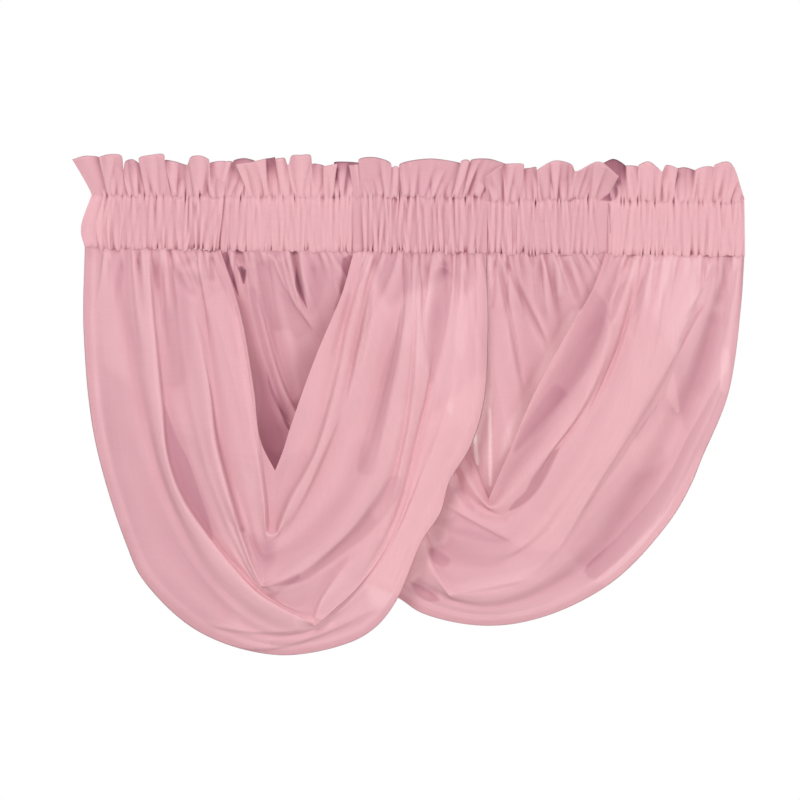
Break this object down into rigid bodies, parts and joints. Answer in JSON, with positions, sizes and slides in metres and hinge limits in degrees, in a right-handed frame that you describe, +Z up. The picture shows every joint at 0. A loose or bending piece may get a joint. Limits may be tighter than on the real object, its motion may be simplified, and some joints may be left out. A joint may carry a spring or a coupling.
{
  "type": "scoop valance",
  "caption": "Sheer scoop valance: overlapping draped swags and a plain tail hang from gathered rod-pocket headings with standing ruffles, for one shared curtain rod.",
  "frame": {"origin": "middle of the rod pocket: halfway between its outer ends at the middle of the tunnel's depth, about halfway up the pocket", "axes": "+X along the rod to the viewer's right, +Y towards the window or wall behind, +Z up; the front faces -Y"},
  "size_m": [0.94, 0.0905, 0.7013],
  "materials": {
    "voile": "sheer plain-woven polyester voile, soft pink, slight sheen"
  },
  "bodies": {
    "root": {"heading_1_left": "voile", "heading_2_left": "voile", "heading_1_right": "voile", "heading_3_left": "voile", "heading_2_right": "voile", "swag_1": "voile", "swag_2": "voile", "tail_3": "voile"}
  },
  "joints": []
}
